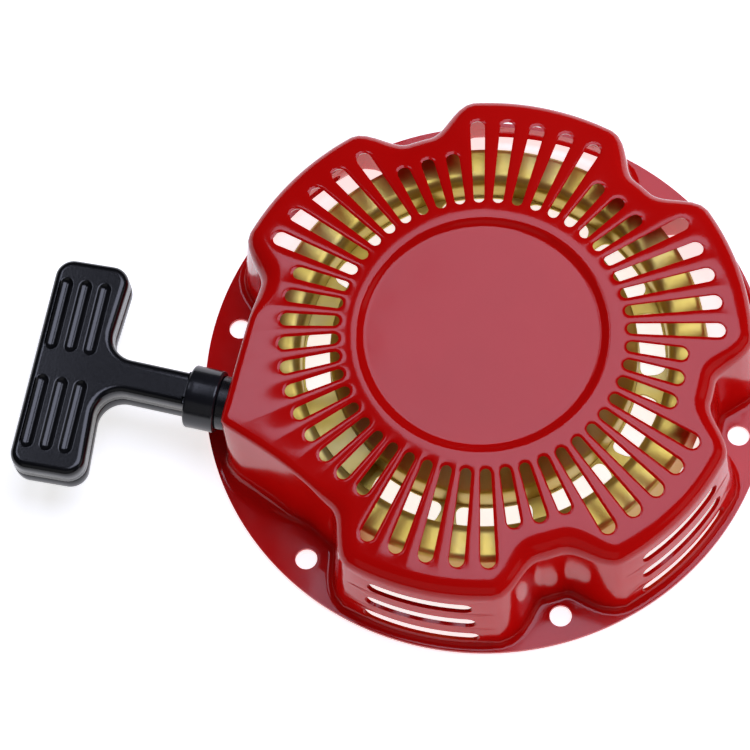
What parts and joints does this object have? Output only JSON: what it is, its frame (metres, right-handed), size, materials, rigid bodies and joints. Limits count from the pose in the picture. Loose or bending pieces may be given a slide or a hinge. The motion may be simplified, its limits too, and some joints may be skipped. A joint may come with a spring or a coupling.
{
  "type": "recoil starter",
  "caption": "Pull-start unit for a small petrol engine: round vented steel cover with a bolt flange, rope reel, recoil spring, pawls and a T-shaped pull grip.",
  "frame": {"origin": "centre of the bolt circle, on the back face of the mounting flange", "axes": "+Z along the reel's axis, from the flange towards the cover's top; the rope runs out towards -X; Y completes a right-handed frame"},
  "size_m": [0.2324, 0.183, 0.0425],
  "materials": {
    "red_paint": "gloss",
    "yellow_zinc": "satin",
    "steel": "machined",
    "eyelet_plastic": "gloss",
    "reel_nylon": "matte",
    "spring_steel": "blued",
    "rope": "braided",
    "grip_plastic": "gloss",
    "collar_plastic": "gloss",
    "pawl_steel": "satin",
    "wire": "bright"
  },
  "bodies": {
    "case": {"cover": "red_paint", "inner_bracket": "yellow_zinc", "centre_post": "steel", "rope_eyelet": "eyelet_plastic", "recoil_spring": "spring_steel", "friction_spring": "wire", "thrust_washer": "steel", "centre_screw": "yellow_zinc"},
    "reel": {"reel": "reel_nylon", "rope_on_reel": "rope", "rope_knot_reel": "rope"},
    "grip": {"grip_front_half": "grip_plastic", "grip_back_half": "grip_plastic", "grip_collar": "collar_plastic", "knot_washer": "steel", "rope_knot_grip": "rope", "rope_lead": "rope"},
    "guide": {"ratchet_guide": "yellow_zinc"},
    "pawl_a": {"pawl_a": "pawl_steel", "pawl_spring_a": "wire"},
    "pawl_b": {"pawl_b": "pawl_steel", "pawl_spring_b": "wire"}
  },
  "joints": [
    {"name": "grip_pull", "type": "slide", "parent": "case", "child": "grip", "axis": [-1, 0, 0], "range_m": [0, 0.9], "stiffness_N_per_m": 25, "springref_m": -0.6, "deforming": ["rope_lead"]},
    {"name": "reel_spin", "type": "hinge", "parent": "case", "child": "reel", "pos_m": [0, 0, 0.0225], "axis": [0, 0, 1], "range_deg": [-1520, 0], "deforming": ["recoil_spring"]},
    {"name": "guide_turn", "type": "hinge", "parent": "reel", "child": "guide", "pos_m": [0, 0, 0.009], "axis": [0, 0, 1], "range_deg": [0, 25]},
    {"name": "pawl_a_swing", "type": "hinge", "parent": "reel", "child": "pawl_a", "pos_m": [0.022, 0, 0.013], "axis": [0, 0, 1], "range_deg": [0, 35], "deforming": ["pawl_spring_a"]},
    {"name": "pawl_b_swing", "type": "hinge", "parent": "reel", "child": "pawl_b", "pos_m": [-0.022, 0, 0.013], "axis": [0, 0, 1], "range_deg": [0, 35], "deforming": ["pawl_spring_b"]}
  ],
  "couplings": [
    {"joint": "reel_spin", "follows": "grip_pull", "rad_per_m": -29.412},
    {"joint": "pawl_a_swing", "follows": "guide_turn", "ratio": 1.4},
    {"joint": "pawl_b_swing", "follows": "guide_turn", "ratio": 1.4}
  ]
}
